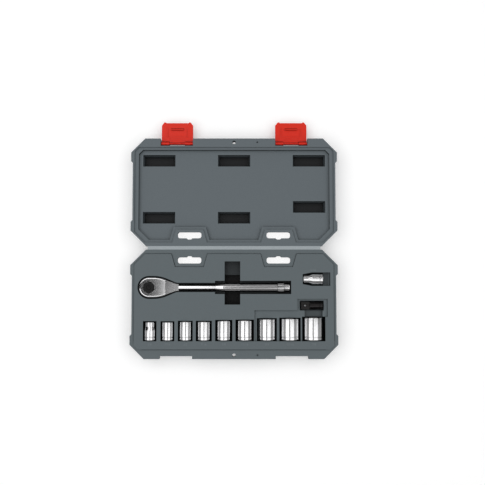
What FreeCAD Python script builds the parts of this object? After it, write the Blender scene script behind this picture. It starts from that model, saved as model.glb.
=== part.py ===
import FreeCAD, Part
import math
import os
import Sketcher
from FreeCAD import Placement, Rotation, Vector

# A socket wrench set in a moulded case, lying open and flat. Millimetres, +Z up.
# The origin is the centre of the base's underside, and +Y runs towards the hinge and the lid.

# Driving sizes: name, value, meaning
SIZES = [
    ("drive_square", 9.53, "square drive across its flats"),
    ("drive_long", 11.0, "length of a square drive"),
    ("drive_room", 0.1, "room round a square drive in a socket"),
    ("drive_deep", 10.5, "depth of a socket's square hole"),
    ("boss_wall", 1.4, "least wall round a socket's square hole"),
    ("socket_bore", 7.0, "hole through a socket between square and hexagon"),
    ("socket_web", 2.0, "wall between a socket's square and hexagon"),
    ("edge_break", 0.6, "chamfer at a socket's ends"),
    ("band_from_end", 3.2, "drive end of a socket to its band"),
    ("band_wide", 1.4, "width of a socket's band"),
    ("band_deep", 0.35, "depth of a socket's band"),
    ("lead_in", 1.0, "depth of the cone that leads into a hexagon"),
    ("nose_from", 0.55, "share of a stepped socket with its full diameter"),
    ("nose_slope", 0.45, "share of the rest that slopes to the nose"),
    ("tapered_flats", 7.94, "hexagon of the tapered socket"),
    ("tapered_wall", 1.2, "nose wall of the tapered socket"),
    ("tapered_long", 26.0, "length of the tapered socket"),
    ("tapered_body", 14.5, "length of its full diameter"),
    ("pocket_side", 0.9, "room beside a tool in its pocket"),
    ("pocket_end", 1.3, "room at each end of a tool"),
    ("seat_gap", 0.3, "room under a round tool"),
    ("row_left", 15.9, "left side of the base to the first pocket"),
    ("row_right", 15.2, "last pocket to the right side of the base"),
    ("row_front", 25.2, "front edge to the drive ends of the sockets"),
    ("ratchet_gap", 40.5, "longest socket to the ratchet's axis"),
    ("hinge_zone", 51.0, "ratchet's axis to the hinge edge"),
    ("head_margin", 9.9, "left side of the base to the ratchet's head"),
    ("tapered_gap", 16.8, "ratchet's end to the tapered socket"),
    ("finger_step", 10.1, "finger recess beside the tapered socket"),
    ("right_margin", 8.2, "finger recess to the right side of the base"),
    ("tapered_up", 11.1, "ratchet's axis to the tapered socket's axis"),
    ("base_floor", 3.0, "wall under the deepest pocket"),
    ("lid_gap", 1.0, "tools to the closed lid's panel"),
    ("flange_thick", 12.0, "thickness of the rim flange"),
    ("flange_side", 3.0, "rim flange outside the deck at the sides"),
    ("flange_front", 12.4, "rim flange outside the deck at the front"),
    ("flange_hinge", 5.5, "rim flange outside the deck at the hinge"),
    ("corner_front", 19.0, "cut corner at the front"),
    ("corner_hinge", 21.0, "cut corner at the hinge"),
    ("ear_out", 2.3, "corner bumper beyond the side"),
    ("ear_long", 12.0, "length of a corner bumper"),
    ("deck_rise", 2.0, "deck above the rim"),
    ("rim_room", 0.6, "room between the deck and the lid's step"),
    ("step_room", 0.3, "room over the deck's edge in the closed lid"),
    ("panel_drop", 5.0, "lid's panel below its step"),
    ("ledge_side", 5.0, "lid's step width at the sides"),
    ("ledge_front", 2.9, "lid's step width at the front and hinge"),
    ("tub_draft", 4.0, "draft of the outer walls, in degrees"),
    ("tub_edge", 4.0, "rounding of the outer bottom edges"),
    ("deck_edge", 0.8, "rounding of the deck's edge"),
    ("hinge_gap", 4.8, "base to lid across the hinge"),
    ("web_thick", 0.8, "thickness of the hinge web"),
    ("web_down", 0.2, "hinge web below the rim"),
    ("web_inset", 2.3, "hinge web short of the cut corners"),
    ("slot_pitch", 60.0, "middle of the case to a hang slot"),
    ("slot_wide", 32.0, "width of a hang slot"),
    ("slot_high", 8.3, "height of a hang slot"),
    ("slot_round", 3.4, "corner radius of a hang slot"),
    ("slot_in", 14.6, "hinge edge to a hang slot's middle"),
    ("notch_half", 4.0, "half width of a hang slot's notch"),
    ("notch_rise", 1.6, "height of a hang slot's notch"),
    ("island_foot", 24.0, "half width of a hang tab at the hinge"),
    ("island_top", 19.0, "half width of a hang tab at its far end"),
    ("island_deep", 23.0, "hinge edge to a hang tab's far end"),
    ("hang_thick", 5.0, "thickness of a hang tab"),
    ("tag_hole", 2.4, "radius of the tag holes"),
    ("tag_in", 5.2, "front edge to a tag hole"),
    ("pit_radius", 1.2, "radius of the blow pin mark"),
    ("pit_deep", 3.0, "depth of the blow pin mark"),
    ("pit_side", 31.6, "middle of the case to the blow pin mark"),
    ("latch_pitch", 78.0, "middle of the case to a latch"),
    ("latch_wide", 43.0, "width of a latch"),
    ("latch_room", 0.5, "room beside a latch"),
    ("latch_reach", 30.5, "latch pin to the latch's free end"),
    ("latch_plate", 2.4, "thickness of a latch's plate"),
    ("latch_lip", 2.6, "height of a latch's hook"),
    ("latch_cut", 3.4, "cut corners of a latch"),
    ("horn_rise", 1.0, "horns at a latch's free end"),
    ("latch_clear", 0.3, "room round a latched hook"),
    ("latch_rib", 0.8, "height of a latch's ribs"),
    ("knuckle_radius", 3.2, "radius of a latch's knuckles"),
    ("knuckle_wide", 11.0, "width of a knuckle"),
    ("hook_half", 8.5, "half width of a latch's hook"),
    ("pin_radius", 1.6, "radius of a latch pin"),
    ("pin_fit", 0.06, "running clearance on a pin"),
    ("pin_hold", 5.0, "latch pin in each cheek of the lid"),
    ("pin_in", 6.1, "front edge to a latch pin"),
    ("pin_down", 7.0, "rim to a latch pin"),
    ("catch_deep", 3.9, "depth of the base's latch notch"),
    ("well_long", 44.0, "length of a lid well"),
    ("well_wide", 15.8, "width of a lid well"),
    ("well_deep", 12.0, "depth of a lid well"),
    ("well_draft", 10.0, "draft of a lid well, in degrees"),
    ("well_pitch", 102.3, "middle of the lid to its outer wells"),
    ("well_front", 29.4, "front edge to the front wells"),
    ("well_back", 107.7, "front edge to the back wells"),
    ("well_shift", 14.8, "one back well further forward"),
    ("recess_deep", 3.0, "shallow recess round the largest sockets"),
    ("recess_from", 7, "first socket in the shallow recess"),
    ("recess_side", 3.2, "shallow recess beyond the pockets"),
    ("recess_up", 10.0, "longest socket to the recess's edge"),
    ("recess_round", 9.0, "adapter's axis to the recess's edge"),
    ("relief_wide", 21.0, "width of the finger relief"),
    ("relief_long", 58.0, "length of the finger relief"),
    ("relief_up", 35.0, "ratchet's axis to the relief's far end"),
    ("relief_along", 112.0, "ratchet's head to the relief's middle"),
    ("relief_shelf", 9.0, "height of the relief's shelf"),
    ("shelf_long", 18.0, "length of the relief's shelf"),
    ("ratchet_long", 203.2, "overall length of the ratchet"),
    ("head_radius", 13.6, "radius of the ratchet's head"),
    ("head_thick", 13.0, "thickness of the ratchet's head"),
    ("head_edge", 2.0, "rounding of the head's edges"),
    ("shoulder_start", 6.0, "head's centre to the start of its shoulders"),
    ("shoulder_radius", 45.0, "radius of the head's shoulders"),
    ("shoulder_turn", 23.5, "taper of the head, in degrees"),
    ("waist_radius", 15.0, "radius where the head meets the neck"),
    ("thin_from", 22.0, "head's centre to where it thins"),
    ("neck_radius", 4.4, "radius of the neck"),
    ("neck_long", 50.0, "length of the neck"),
    ("flare_long", 9.8, "length of the flare into the grip"),
    ("grip_radius", 5.8, "radius of the grip"),
    ("collar_radius", 7.1, "radius of the end collar"),
    ("collar_wide", 9.4, "width of the end collar"),
    ("knob_long", 7.8, "length of the end knob"),
    ("end_round", 1.5, "rounding of the grip's ends"),
    ("gear_radius", 10.0, "tip radius of the drive gear"),
    ("tooth_deep", 0.5, "depth of a gear tooth"),
    ("tooth_count", 72, "teeth on the drive gear"),
    ("tooth_tip", 0.14, "share of the pitch at a tooth's tip"),
    ("tooth_root", 0.34, "share of the pitch at a tooth's foot, each side"),
    ("gear_thick", 6.0, "thickness of the drive gear"),
    ("gear_room", 0.4, "room round the gear in the head"),
    ("journal_radius", 5.0, "radius of the gear's upper journal"),
    ("boss_radius", 7.0, "radius of the gear's lower boss"),
    ("boss_long", 3.7, "length of the gear's lower boss"),
    ("run_fit", 0.06, "running clearance in the ratchet"),
    ("cover_radius", 11.6, "radius of the cover plate"),
    ("cover_thick", 1.6, "thickness of the cover plate"),
    ("cover_half", 8.9, "half width of the cover plate's tail"),
    ("cover_tail", 20.8, "head's centre to the cover plate's end"),
    ("screw_along", 18.4, "head's centre to the cover screws"),
    ("screw_side", 6.5, "head's middle to a cover screw"),
    ("screw_radius", 0.9, "radius of a cover screw"),
    ("screw_head", 1.7, "radius of a cover screw's head"),
    ("screw_long", 4.2, "length of a cover screw"),
    ("dial_radius", 7.85, "radius of the reversing dial"),
    ("dial_thick", 2.6, "thickness of the reversing dial"),
    ("hub_radius", 6.0, "radius of the dial's hub"),
    ("hub_long", 2.0, "length of the dial's hub"),
    ("dial_seat", 0.1, "room under the dial's hub and flange"),
    ("knurl_radius", 0.55, "radius of a flute in the dial's rim"),
    ("knurl_count", 24, "flutes round the dial"),
    ("button_radius", 3.3, "radius of the release button"),
    ("button_rise", 0.5, "release button above the dial"),
    ("button_long", 3.2, "length of the release button's head"),
    ("button_travel", 2.0, "travel of the release button"),
    ("stem_radius", 1.9, "radius of the release stem"),
    ("stem_waist", 1.1, "radius of the release stem's waist"),
    ("ball_radius", 1.75, "radius of the drive's detent ball"),
    ("ball_down", 5.5, "foot of the drive to its ball"),
    ("spring_wire", 0.5, "wire of the release spring"),
    ("spring_turns", 4, "turns of the release spring"),
    ("pawl_radius", 8.0, "outer radius of the pawl"),
    ("pawl_along", 9.0, "head's centre to the pawl's centre"),
    ("pawl_room", 0.5, "room round the pawl"),
    ("pawl_lift", 0.65, "lift of a released pawl tooth"),
    ("pawl_angle", 36.0, "middle of a pawl's teeth from the handle's line, in degrees"),
    ("pawl_teeth", 3, "teeth at each end of the pawl"),
    ("pawl_pin", 1.0, "radius of the pawl's pin"),
    ("mesh_room", 0.08, "room beside a meshed tooth"),
    ("adapter_long", 29.6, "length of the drive adapter"),
    ("adapter_radius", 5.7, "radius of the drive adapter"),
    ("adapter_square", 6.45, "square hole of the drive adapter"),
    ("adapter_hole", 8.5, "depth of the adapter's square hole"),
    ("adapter_groove", 5.0, "adapter's end to its groove"),
    ("adapter_gap", 16.2, "longest socket to the adapter's axis"),
    ("adapter_left", 2.4, "adapter left of the largest socket's axis"),
    ("adapter_neck", 24.0, "width of the finger channel at the adapter"),
    ("adapter_ball", 1.5, "radius of the adapter's ball"),
    ("adapter_lift", 0.6, "adapter's ball above its square"),
    ("adapter_coil", 2.4, "length of the spring under the adapter's ball"),
    ("adapter_wire", 0.3, "wire of the spring under the adapter's ball"),
]

# Straight sockets: name, hexagon across flats, nose wall, length, web to the next pocket
SOCKETS = [
    ("3_8", 9.53, 1.75, 24.2, 5.4),
    ("7_16", 11.11, 1.95, 24.0, 4.7),
    ("1_2", 12.70, 1.67, 24.6, 4.2),
    ("9_16", 14.29, 1.55, 24.6, 4.5),
    ("5_8", 15.88, 1.40, 25.8, 4.2),
    ("11_16", 17.46, 1.42, 26.2, 3.9),
    ("3_4", 19.05, 1.50, 28.0, 3.3),
    ("13_16", 20.64, 1.50, 28.6, 2.0),
    ("7_8", 22.23, 1.70, 30.0, 0.0),
]
NAMES = [socket[0] for socket in SOCKETS]
LAST = NAMES[-1]

# Places that several pieces share, and how finely a spring is drawn
PAWL_PIN = "Size.gear_radius/cos(Size.pawl_angle)"
SPRING_LONG = "2*Size.spring_turns*Size.spring_wire"
SPRING_STEPS = 16
SPRING_SIDES = 8
ADAPTER_SEAT = "Size.adapter_ball+Size.run_fit"
ADAPTER_FLOOR = "Size.drive_square/2+Size.adapter_lift-2*Size.adapter_ball-Size.adapter_coil"
ADAPTER_Z = "Layout.tool_top-Size.recess_deep-Size.adapter_radius"

doc = FreeCAD.newDocument("socket_set")


def add_sheet(name, rows):
    """A sheet of named cells."""
    sheet = doc.addObject("Spreadsheet::Sheet", name)
    for number, (alias, content, meaning) in enumerate(rows, 1):
        sheet.set(f"A{number}", meaning)
        sheet.set(f"B{number}", str(content))
        sheet.setAlias(f"B{number}", alias)
    doc.recompute()
    return sheet


def socket_rows():
    """The socket table as named cells."""
    rows = []
    for name, flats, wall, length, web in SOCKETS:
        rows.append((f"flats_{name}", flats, f"{name} hexagon across flats"))
        rows.append((f"wall_{name}", wall, f"{name} nose wall"))
        rows.append((f"long_{name}", length, f"{name} length"))
        rows.append((f"web_{name}", web, f"{name} pocket to the next pocket"))
    return rows


def layout_rows():
    """Sizes and places that follow from the driving sizes."""
    rows = [("boss_dia", "=Size.drive_square*sqrt(2)+2*Size.boss_wall", "least socket diameter")]
    for name in NAMES:
        nose = f"Size.flats_{name}*2/sqrt(3)+2*Size.wall_{name}"
        rows.append((f"nose_{name}", f"={nose}", "nose diameter"))
        rows.append((f"dia_{name}", f"=max({nose};boss_dia)", "body diameter"))
        rows.append((f"pocket_{name}", f"=dia_{name}+2*Size.pocket_side", "pocket width"))
    row = "+".join(f"pocket_{name}+Size.web_{name}" for name in NAMES)
    line = "Size.head_margin+Size.ratchet_long+Size.tapered_gap+Size.tapered_long"
    line += "+Size.finger_step+Size.right_margin"
    longest = ";".join(f"Size.long_{name}" for name in NAMES)
    widest = ";".join(f"dia_{name}" for name in NAMES)
    rows += [
        ("side_half", f"=max(Size.row_left+Size.row_right+{row};{line})/2", "half width between ears"),
        ("ear_half", "=side_half+Size.ear_out", "half width over the ears"),
        ("longest", f"=max({longest})", "longest socket"),
        ("half_depth", "=(Size.row_front+longest+Size.ratchet_gap+Size.hinge_zone)/2", "half depth"),
        ("lid_deep", "=Size.deck_rise+Size.step_room+Size.panel_drop", "rim to the lid's panel"),
        ("ratchet_top", "=Size.head_thick/2+Size.dial_seat+Size.dial_thick+Size.button_rise", "button"),
        ("gear_top", "=Size.gear_thick/2-Size.cover_thick/2", "gear's upper face"),
        ("gear_foot", "=gear_top-Size.gear_thick", "gear's lower face"),
        ("boss_foot", "=gear_foot-Size.boss_long", "lower boss's end"),
        ("drive_foot", "=boss_foot-Size.drive_long", "drive's end"),
        ("tallest", f"=max({widest};ratchet_top-drive_foot+Size.seat_gap)", "tallest tool"),
        ("rim", "=Size.base_floor+tallest+Size.lid_gap-lid_deep", "rim height"),
        ("deck", "=rim+Size.deck_rise", "deck height"),
        ("tool_top", "=rim+lid_deep-Size.lid_gap", "top of every tool"),
        ("axis_y", "=half_depth+Size.hinge_gap/2", "hinge axis"),
        ("row_y", "=Size.row_front-half_depth", "drive ends of the sockets"),
        ("ratchet_x", "=Size.head_margin+Size.head_radius-side_half", "ratchet's head"),
        ("ratchet_y", "=half_depth-Size.hinge_zone", "ratchet's axis"),
        ("ratchet_z", "=tool_top-ratchet_top", "ratchet's middle plane"),
        ("cut_front", "=Size.corner_front-Size.ear_out-Size.flange_front+0.41*Size.flange_side", "corner"),
        ("cut_hinge", "=Size.corner_hinge-Size.ear_out-Size.flange_hinge+0.41*Size.flange_side", "corner"),
        ("latch_half", "=Size.latch_wide/2+Size.latch_room", "half a latch notch"),
        ("pin_z", "=rim-Size.pin_down", "latch pin height"),
        ("plate_top", "=Size.catch_deep-Size.pin_in-Size.latch_clear-Size.latch_rib", "latch plate"),
        ("hook_from", "=Size.pin_down+Size.flange_thick+2*Size.latch_clear", "latch pin to the hook"),
        ("tapered_nose", "=Size.tapered_flats*2/sqrt(3)+2*Size.tapered_wall", "tapered nose diameter"),
        ("tapered_x", "=side_half-Size.right_margin-Size.finger_step", "tapered socket's drive end"),
        ("tapered_y", "=ratchet_y+Size.tapered_up", "tapered socket's axis"),
        ("adapter_y", "=row_y+longest+Size.adapter_gap", "adapter's axis"),
        ("shoulder_x", "=Size.shoulder_start+Size.shoulder_radius*sin(Size.shoulder_turn)", "shoulder's end"),
        ("shoulder_y", "=Size.head_radius-Size.shoulder_radius*(1-cos(Size.shoulder_turn))", "shoulder"),
        ("waist_y", "=Size.neck_radius+Size.waist_radius*(1-cos(Size.shoulder_turn))", "waist's start"),
        ("waist_x", "=shoulder_x+(shoulder_y-waist_y)/tan(Size.shoulder_turn)", "waist's start"),
        ("neck_x", "=waist_x+Size.waist_radius*sin(Size.shoulder_turn)", "neck's start"),
        ("grip_x", "=neck_x+Size.neck_long", "neck's end"),
        ("end_x", "=Size.ratchet_long-Size.head_radius", "ratchet's end"),
        ("knob_x", "=end_x-Size.knob_long", "end collar's end"),
        ("collar_x", "=knob_x-Size.collar_wide", "end collar's start"),
        ("ball_out", "=Size.stem_radius+Size.ball_radius*(sqrt(5)/2-0.25)+Size.run_fit/3", "drive ball"),
        ("ball_z", "=drive_foot+Size.ball_down", "drive ball's height"),
        ("button_z", "=ratchet_top-Size.button_long", "underside of the button's head"),
    ]
    left = "-side_half+Size.row_left"
    for name in NAMES:
        rows.append((f"place_{name}", f"={left}+pocket_{name}/2", "socket's place along the row"))
        left = f"place_{name}+pocket_{name}/2+Size.web_{name}"
    rows.append(("adapter_x", f"=place_{LAST}-Size.adapter_left", "adapter's middle"))
    return rows


sizes = add_sheet("Size", SIZES + socket_rows())
layout = add_sheet("Layout", layout_rows())


def value(expression):
    """The number that an expression of named cells comes to."""
    return float(layout.evalExpression(str(expression)))


def new_body(label):
    body = doc.addObject("PartDesign::Body", label)
    body.Label = label
    return body


def bind(item, name, expression):
    item.setExpression(name, str(expression))


def place(item, x=0, y=0, z=0, rotation=Rotation()):
    """Put a sub-part at a bound place."""
    item.Placement = Placement(Vector(value(x), value(y), value(z)), rotation)
    for letter, expression in zip("xyz", (x, y, z)):
        bind(item, f"Placement.Base.{letter}", expression)


def new_sketch(body, plane, height):
    """A sketch on one of the body's own planes, moved along that plane's normal."""
    sketch = body.newObject("Sketcher::SketchObject", f"{body.Label}_sketch")
    role = f"{plane}_Plane"
    support = [feature for feature in body.Origin.OriginFeatures if feature.Role == role][0]
    sketch.AttachmentSupport = [(support, "")]
    sketch.MapMode = "FlatFace"
    bind(sketch, "AttachmentOffset.Base.z", height)
    return sketch


def bend(start, end, radius):
    """The short arc from start to end; a positive radius bulges to the right of the way."""
    chord = end - start
    half = chord.Length / 2
    reach = math.sqrt(max(radius * radius - half * half, 0))
    leftward = Vector(-chord.y, chord.x, 0).normalize()
    centre = (start + end) / 2 + leftward * math.copysign(reach, radius)
    first, last = (start, end) if radius > 0 else (end, start)
    begin = math.atan2(first.y - centre.y, first.x - centre.x)
    stop = math.atan2(last.y - centre.y, last.x - centre.x)
    if stop < begin:
        stop += 2 * math.pi
    circle = Part.Circle(centre, Vector(0, 0, 1), abs(radius))
    return Part.ArcOfCircle(circle, begin, stop)


def fix(sketch, kind, geometry, point, expression):
    """A bound distance of a point from the sketch's origin."""
    index = sketch.addConstraint(Sketcher.Constraint(kind, -1, 1, geometry, point, value(expression)))
    bind(sketch, f"Constraints[{index}]", expression)


def draw(sketch, corners):
    """A closed outline of bound corners: (x, y), or (x, y, radius) where the next edge is an arc."""
    spots = [Vector(value(corner[0]), value(corner[1]), 0) for corner in corners]
    count = len(corners)
    first = sketch.GeometryCount
    ends = []
    for number, corner in enumerate(corners):
        start, end = spots[number], spots[(number + 1) % count]
        if len(corner) == 2:
            sketch.addGeometry(Part.LineSegment(start, end))
            ends.append((1, 2))
        else:
            radius = value(corner[2])
            sketch.addGeometry(bend(start, end, radius))
            ends.append((1, 2) if radius > 0 else (2, 1))
    for number, corner in enumerate(corners):
        after = (number + 1) % count
        joint = (first + number, ends[number][1], first + after, ends[after][0])
        sketch.addConstraint(Sketcher.Constraint("Coincident", *joint))
    for number, corner in enumerate(corners):
        fix(sketch, "DistanceX", first + number, ends[number][0], corner[0])
        fix(sketch, "DistanceY", first + number, ends[number][0], corner[1])
        if len(corner) == 3:
            radius = corner[2] if value(corner[2]) > 0 else f"-({corner[2]})"
            index = sketch.addConstraint(Sketcher.Constraint("Radius", first + number, value(radius)))
            bind(sketch, f"Constraints[{index}]", radius)
    return sketch


def draw_circle(sketch, x, y, radius):
    centre = Vector(value(x), value(y), 0)
    number = sketch.addGeometry(Part.Circle(centre, Vector(0, 0, 1), value(radius)))
    fix(sketch, "DistanceX", number, 3, x)
    fix(sketch, "DistanceY", number, 3, y)
    index = sketch.addConstraint(Sketcher.Constraint("Radius", number, value(radius)))
    bind(sketch, f"Constraints[{index}]", radius)
    return sketch


def box(x0, y0, x1, y1):
    """Corners of an upright rectangle."""
    return [(x0, y0), (x1, y0), (x1, y1), (x0, y1)]


def pad(body, sketch, length, flip=False, draft=None, middle=False):
    feature = body.newObject("PartDesign::Pad", f"{body.Label}_pad")
    feature.Profile = sketch
    feature.Reversed = flip
    feature.Midplane = middle
    bind(feature, "Length", length)
    if draft:
        bind(feature, "TaperAngle", draft)
    doc.recompute()
    return feature


def pocket(body, sketch, length, flip=False, draft=None, middle=False):
    """Cut a sketch into the body, and make sure that it took something away."""
    before = body.Shape.Volume
    feature = body.newObject("PartDesign::Pocket", f"{body.Label}_pocket")
    feature.Profile = sketch
    feature.Reversed = flip
    feature.Midplane = middle
    bind(feature, "Length", length)
    if draft:
        bind(feature, "TaperAngle", draft)
    doc.recompute()
    if body.Shape.Volume > before - 1e-4:
        raise ValueError(f"{feature.Name} cut nothing")
    return feature


def revolve(body, sketch, axis):
    feature = body.newObject("PartDesign::Revolution", f"{body.Label}_revolution")
    feature.Profile = sketch
    feature.ReferenceAxis = (sketch, [axis])
    feature.Angle = 360
    doc.recompute()
    return feature


def round_edges(body, feature, radius, chosen):
    """Round the edges of a feature that a test picks out."""
    names = [f"Edge{n}" for n, edge in enumerate(feature.Shape.Edges, 1) if chosen(edge)]
    if not names:
        raise ValueError(f"{body.Label} has no such edge to round")
    fillet = body.newObject("PartDesign::Fillet", f"{body.Label}_fillet")
    fillet.Base = (feature, names)
    bind(fillet, "Radius", radius)
    doc.recompute()
    return fillet


def lies_at(edge, height):
    """Whether an edge lies flat at a height."""
    box_of = edge.BoundBox
    return abs(box_of.ZMin - height) < 1e-4 and abs(box_of.ZMax - height) < 1e-4


# Outlines of the case

def flange_outline(notch_depth):
    """The rim: cut corners, corner bumpers and a notch for each latch."""
    ear, side, deep = "Layout.ear_half", "Layout.side_half", "Layout.half_depth"
    front, long, out, hinge = "Size.corner_front", "Size.ear_long", "Size.ear_out", "Size.corner_hinge"
    corners = [(f"-{ear}+{front}", f"-{deep}")]
    for sign in "-+":
        middle = f"{sign}Size.latch_pitch"
        corners.append((f"{middle}-Layout.latch_half", f"-{deep}"))
        corners.append((f"{middle}-Layout.latch_half", f"-{deep}+{notch_depth}"))
        corners.append((f"{middle}+Layout.latch_half", f"-{deep}+{notch_depth}"))
        corners.append((f"{middle}+Layout.latch_half", f"-{deep}"))
    right = [
        (f"{ear}-{front}", f"-{deep}"),
        (ear, f"-{deep}+{front}"),
        (ear, f"-{deep}+{front}+{long}"),
        (side, f"-{deep}+{front}+{long}+{out}"),
        (side, f"{deep}-{hinge}-{long}-{out}"),
        (ear, f"{deep}-{hinge}-{long}"),
        (ear, f"{deep}-{hinge}"),
        (f"{ear}-{hinge}", deep),
    ]
    left = [(f"-({x})", y) for x, y in reversed(right[1:])]
    return corners + right + left


def rim_outline(side, front, hinge, grow):
    """An outline inside the rim, drawn in round each hang tab."""
    x = f"(Layout.side_half-Size.flange_side-{side})"
    y_front = f"(-Layout.half_depth+Size.flange_front+{front})"
    y_hinge = f"(Layout.half_depth-Size.flange_hinge-{hinge})"
    y_tab = f"(Layout.half_depth-Size.island_deep-{grow})"
    foot, top = f"(Size.island_foot+{grow})", f"(Size.island_top+{grow})"
    cut_f, cut_h = "Layout.cut_front", "Layout.cut_hinge"
    corners = [
        (f"-{x}+{cut_f}", y_front),
        (f"{x}-{cut_f}", y_front),
        (x, f"{y_front}+{cut_f}"),
        (x, f"{y_hinge}-{cut_h}"),
        (f"{x}-{cut_h}", y_hinge),
    ]
    for sign in "+-":
        middle = f"{sign}Size.slot_pitch"
        corners.append((f"{middle}+{foot}", y_hinge))
        corners.append((f"{middle}+{top}", y_tab))
        corners.append((f"{middle}-{top}", y_tab))
        corners.append((f"{middle}-{foot}", y_hinge))
    corners.append((f"-{x}+{cut_h}", y_hinge))
    corners.append((f"-{x}", f"{y_hinge}-{cut_h}"))
    corners.append((f"-{x}", f"{y_front}+{cut_f}"))
    return corners


def tab_outline(sign):
    """A hang tab, seen from above."""
    middle = f"{sign}Size.slot_pitch"
    far = "Layout.half_depth-Size.island_deep"
    return [
        (f"{middle}-Size.island_top", far),
        (f"{middle}+Size.island_top", far),
        (f"{middle}+Size.island_foot", "Layout.half_depth+1"),
        (f"{middle}-Size.island_foot", "Layout.half_depth+1"),
    ]


def slot_outline(sign):
    """A hang slot with rounded corners and a notch towards the hinge."""
    middle, turn = f"{sign}Size.slot_pitch", "Size.slot_round"
    x0, x1 = f"({middle}-Size.slot_wide/2)", f"({middle}+Size.slot_wide/2)"
    y0 = "(Layout.half_depth-Size.slot_in-Size.slot_high/2)"
    y1 = "(Layout.half_depth-Size.slot_in+Size.slot_high/2)"
    return [
        (f"{x0}+{turn}", y0),
        (f"{x1}-{turn}", y0, turn),
        (x1, f"{y0}+{turn}"),
        (x1, f"{y1}-{turn}", turn),
        (f"{x1}-{turn}", y1),
        (f"{middle}+Size.notch_half", y1),
        (f"{middle}+Size.notch_half/2", f"{y1}+Size.notch_rise"),
        (f"{middle}-Size.notch_half/2", f"{y1}+Size.notch_rise"),
        (f"{middle}-Size.notch_half", y1),
        (f"{x0}+{turn}", y1, turn),
        (x0, f"{y1}-{turn}"),
        (x0, f"{y0}+{turn}", turn),
    ]


def case_shell(body, notch_depth):
    """The rim flange and the drafted tub under it."""
    flange = draw(new_sketch(body, "XY", "Layout.rim"), flange_outline(notch_depth))
    pad(body, flange, "Size.flange_thick", flip=True)
    tub = draw(new_sketch(body, "XY", "Layout.rim-Size.flange_thick"), rim_outline(0, 0, 0, 0))
    shell = pad(body, tub, "Layout.rim-Size.flange_thick", flip=True, draft="-Size.tub_draft")
    round_edges(body, shell, "Size.tub_edge", lambda edge: lies_at(edge, 0))


def case_openings(body, top, pit_sign):
    """Hang tabs and slots, the tag hole and the blow pin mark."""
    for sign in "+-":
        tab = draw(new_sketch(body, "XY", "Layout.rim-Size.flange_thick"), tab_outline(sign))
        pocket(body, tab, "Size.flange_thick-Size.hang_thick", flip=True)
        slot = draw(new_sketch(body, "XY", top), slot_outline(sign))
        pocket(body, slot, top)
    tag_y = "-Layout.half_depth+Size.tag_in"
    hole = draw_circle(new_sketch(body, "XY", "Layout.rim"), 0, tag_y, "Size.tag_hole")
    pocket(body, hole, "Layout.rim")
    pit = new_sketch(body, "XY", "Layout.rim")
    draw_circle(pit, f"{pit_sign}Size.pit_side", tag_y, "Size.pit_radius")
    pocket(body, pit, "Size.pit_deep")


# Base of the case

def socket_trough(body, name):
    """A pocket with a round floor for a socket that lies across the base."""
    middle, half = f"Layout.place_{name}", f"Layout.pocket_{name}/2"
    axis = f"(Layout.tool_top-Layout.dia_{name}/2-Size.seat_gap+Size.pocket_side)"
    corners = [
        (f"{middle}-{half}", axis, half),
        (middle, f"{axis}-{half}", half),
        (f"{middle}+{half}", axis),
        (f"{middle}+{half}", "Layout.tool_top"),
        (f"{middle}-{half}", "Layout.tool_top"),
    ]
    sketch = draw(new_sketch(body, "XZ", "-(Layout.row_y-Size.pocket_end)"), corners)
    pocket(body, sketch, f"Size.long_{name}+2*Size.pocket_end")


def tapered_trough(body):
    """A pocket that follows the tapered socket, and a step for a finger beside it."""
    end, middle = "Layout.tapered_x", "Layout.tapered_y"
    wide = "(Layout.boss_dia/2+Size.pocket_side)"
    slim = "(Layout.tapered_nose/2+Size.pocket_side)"
    nose = f"({end}-Size.tapered_long-Size.pocket_side)"
    full = f"({end}-Size.tapered_body)"
    corners = [
        (f"{end}+Size.pocket_side", f"{middle}+{wide}"),
        (full, f"{middle}+{wide}"),
        (nose, f"{middle}+{slim}"),
        (nose, f"{middle}-{slim}"),
        (full, f"{middle}-{wide}"),
        (f"{end}+Size.pocket_side", f"{middle}-{wide}"),
    ]
    sketch = draw(new_sketch(body, "XY", "Layout.deck"), corners)
    pocket(body, sketch, "Layout.deck-Layout.tool_top+Layout.boss_dia+Size.seat_gap")
    step = box(end, f"{middle}-{wide}", f"{end}+Size.finger_step", f"{middle}+{wide}")
    sketch = draw(new_sketch(body, "XY", "Layout.deck"), step)
    pocket(body, sketch, "Layout.boss_dia/2")


def head_outline(room):
    """The ratchet's head seen from above, from its round nose to its neck."""
    radius = f"(Size.head_radius+{room})"
    bulge, hollow = f"(Size.shoulder_radius+{room})", f"(Size.waist_radius-{room})"
    lean_x, lean_y = f"{room}*sin(Size.shoulder_turn)", f"{room}*cos(Size.shoulder_turn)"
    neck = f"(Size.neck_radius+{room})"
    lower = [
        (f"-{radius}", "0", radius),
        ("0", f"-{radius}"),
        ("Size.shoulder_start", f"-{radius}", bulge),
        (f"Layout.shoulder_x+{lean_x}", f"-(Layout.shoulder_y+{lean_y})"),
        (f"Layout.waist_x+{lean_x}", f"-(Layout.waist_y+{lean_y})", f"-{hollow}"),
        ("Layout.neck_x", f"-{neck}"),
    ]
    upper = [
        ("Layout.neck_x", neck, f"-{hollow}"),
        (f"Layout.waist_x+{lean_x}", f"Layout.waist_y+{lean_y}"),
        (f"Layout.shoulder_x+{lean_x}", f"Layout.shoulder_y+{lean_y}", bulge),
        ("Size.shoulder_start", radius),
        ("0", radius, radius),
    ]
    return lower + upper


def shift(corners, x, y):
    """Move an outline."""
    return [(f"{x}+{corner[0]}", f"{y}+{corner[1]}", *corner[2:]) for corner in corners]


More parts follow.
